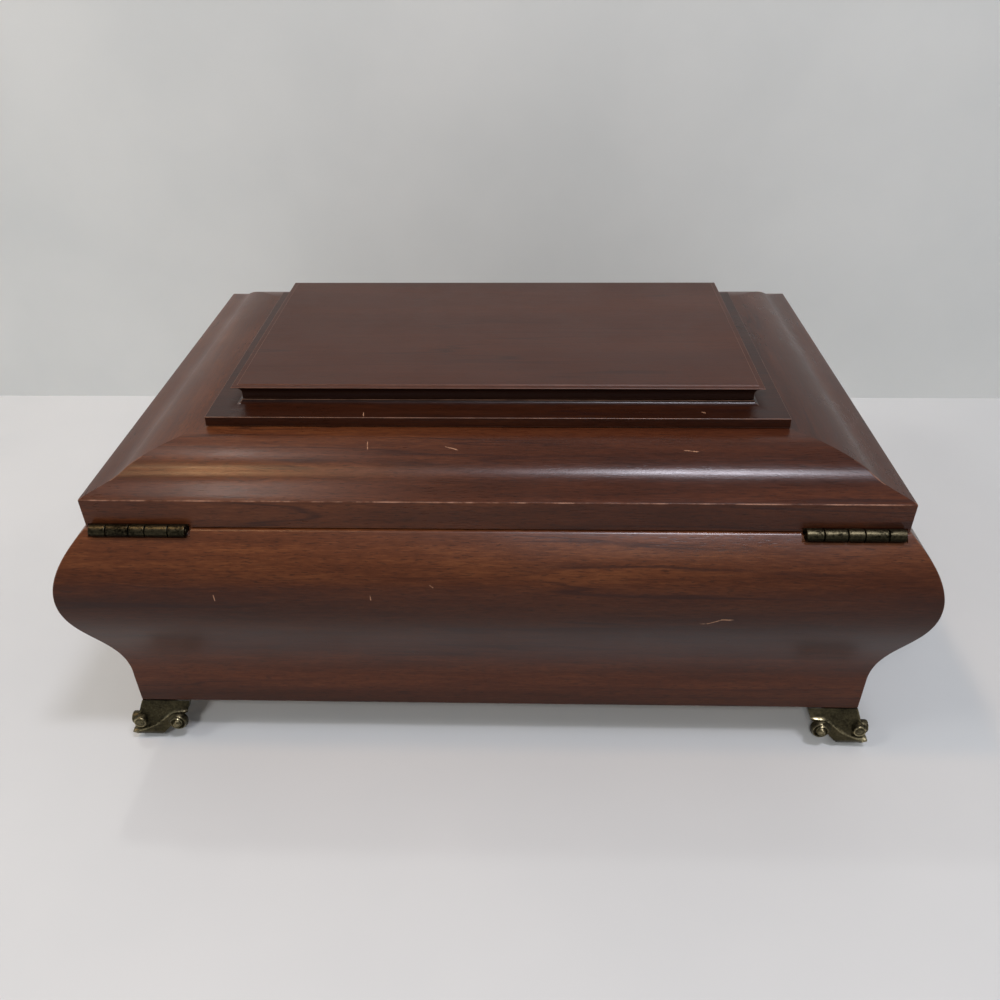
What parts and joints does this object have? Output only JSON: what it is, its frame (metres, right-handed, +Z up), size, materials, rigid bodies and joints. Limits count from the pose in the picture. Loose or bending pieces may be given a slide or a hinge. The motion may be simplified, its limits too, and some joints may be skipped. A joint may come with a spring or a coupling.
{
  "type": "musical jewelry box",
  "caption": "Closed wooden jewelry box with swelling bombe sides, a moulded hinged lid with a raised panel, scroll feet, a lined tray inside and a key-wound music movement.",
  "frame": {"origin": "on the floor under the middle of the closed box", "axes": "+X along the length, +Y towards the side with the hinges, +Z up"},
  "size_m": [0.2928, 0.2158, 0.1265],
  "materials": {
    "mahogany": "dark reddish stain under a satin lacquer, worn at the arrises",
    "plywood": "plain",
    "antique_brass": "dark antique finish with bright high spots",
    "velvet": "short pile",
    "satin_ribbon": "satin",
    "mirror": "silvered",
    "clear_cover": "clear",
    "brass": "bright",
    "steel": "satin",
    "cast_zinc": "as cast",
    "governor_plastic": "plain"
  },
  "bodies": {
    "box": {"body_wall_front": "mahogany", "body_wall_back": "mahogany", "body_wall_left": "mahogany", "body_wall_right": "mahogany", "cover_cleat_left": "mahogany", "cover_cleat_right": "mahogany", "tray_cleat_front": "mahogany", "tray_cleat_back": "mahogany", "bottom_panel": "plywood", "foot_front_left": "antique_brass", "foot_front_right": "antique_brass", "foot_back_right": "antique_brass", "foot_back_left": "antique_brass", "hinge_left_body_leaf": "antique_brass", "hinge_left_pin": "antique_brass", "hinge_right_body_leaf": "antique_brass", "hinge_right_pin": "antique_brass", "wall_lining": "velvet", "floor_lining_main": "velvet", "floor_lining_well": "velvet", "bay_side_partition": "velvet", "bay_front_partition": "velvet", "lower_divider": "velvet", "tray_frame": "velvet", "tray_base": "velvet", "tray_dividers": "velvet", "ring_cushion": "velvet", "tray_ribbon_left": "satin_ribbon", "tray_ribbon_right": "satin_ribbon", "movement_cover": "clear_cover", "governor_frame": "brass", "stop_rod_guide": "brass", "comb": "steel", "bedplate": "cast_zinc", "spring_bridge": "cast_zinc", "comb_base": "cast_zinc"},
    "lid": {"lid_rail_front": "mahogany", "lid_rail_back": "mahogany", "lid_rail_left": "mahogany", "lid_rail_right": "mahogany", "lid_core_panel": "plywood", "lid_plinth": "mahogany", "lid_top_panel": "mahogany", "lid_lining": "velvet", "lid_mirror": "mirror", "hinge_left_lid_leaf": "antique_brass", "hinge_right_lid_leaf": "antique_brass"},
    "winding": {"winding_arbor": "steel", "winding_key": "brass"},
    "cylinder": {"cylinder_arbor": "steel", "music_cylinder": "brass", "cylinder_wheel": "brass"},
    "barrel": {"spring_barrel": "brass", "barrel_cap": "brass", "mainspring": "steel"},
    "governor": {"governor_arbor": "governor_plastic"},
    "fly": {"governor_fly": "governor_plastic"},
    "rod": {"stop_rod": "brass"}
  },
  "joints": [
    {"name": "lid_hinge", "type": "hinge", "parent": "box", "child": "lid", "pos_m": [0, 0.098, 0.09495], "axis": [-1, 0, 0], "range_deg": [0, 100]},
    {"name": "winding_spin", "type": "hinge", "parent": "box", "child": "winding", "pos_m": [-0.1028, 0.0625, 0.0233], "axis": [0, 0, 1], "continuous": true},
    {"name": "cylinder_spin", "type": "hinge", "parent": "box", "child": "cylinder", "pos_m": [-0.091, 0.0625, 0.0344], "axis": [1, 0, 0], "continuous": true},
    {"name": "barrel_spin", "type": "hinge", "parent": "box", "child": "barrel", "pos_m": [-0.1028, 0.0625, 0.0233], "axis": [0, 0, 1], "continuous": true},
    {"name": "governor_spin", "type": "hinge", "parent": "box", "child": "governor", "pos_m": [-0.091, 0.0715, 0.0344], "axis": [1, 0, 0], "continuous": true},
    {"name": "fly_spin", "type": "hinge", "parent": "box", "child": "fly", "pos_m": [-0.0684, 0.0768, 0.0233], "axis": [0, 0, 1], "continuous": true},
    {"name": "stop_rod_slide", "type": "slide", "parent": "box", "child": "rod", "axis": [0, 0, 1], "range_m": [0, 0.003]}
  ],
  "couplings": [
    {"joint": "barrel_spin", "follows": "cylinder_spin", "ratio": 0.5},
    {"joint": "governor_spin", "follows": "cylinder_spin", "ratio": -2.75},
    {"joint": "fly_spin", "follows": "cylinder_spin", "ratio": 38.5},
    {"joint": "stop_rod_slide", "follows": "lid_hinge", "m_per_rad": 0.0017188}
  ]
}
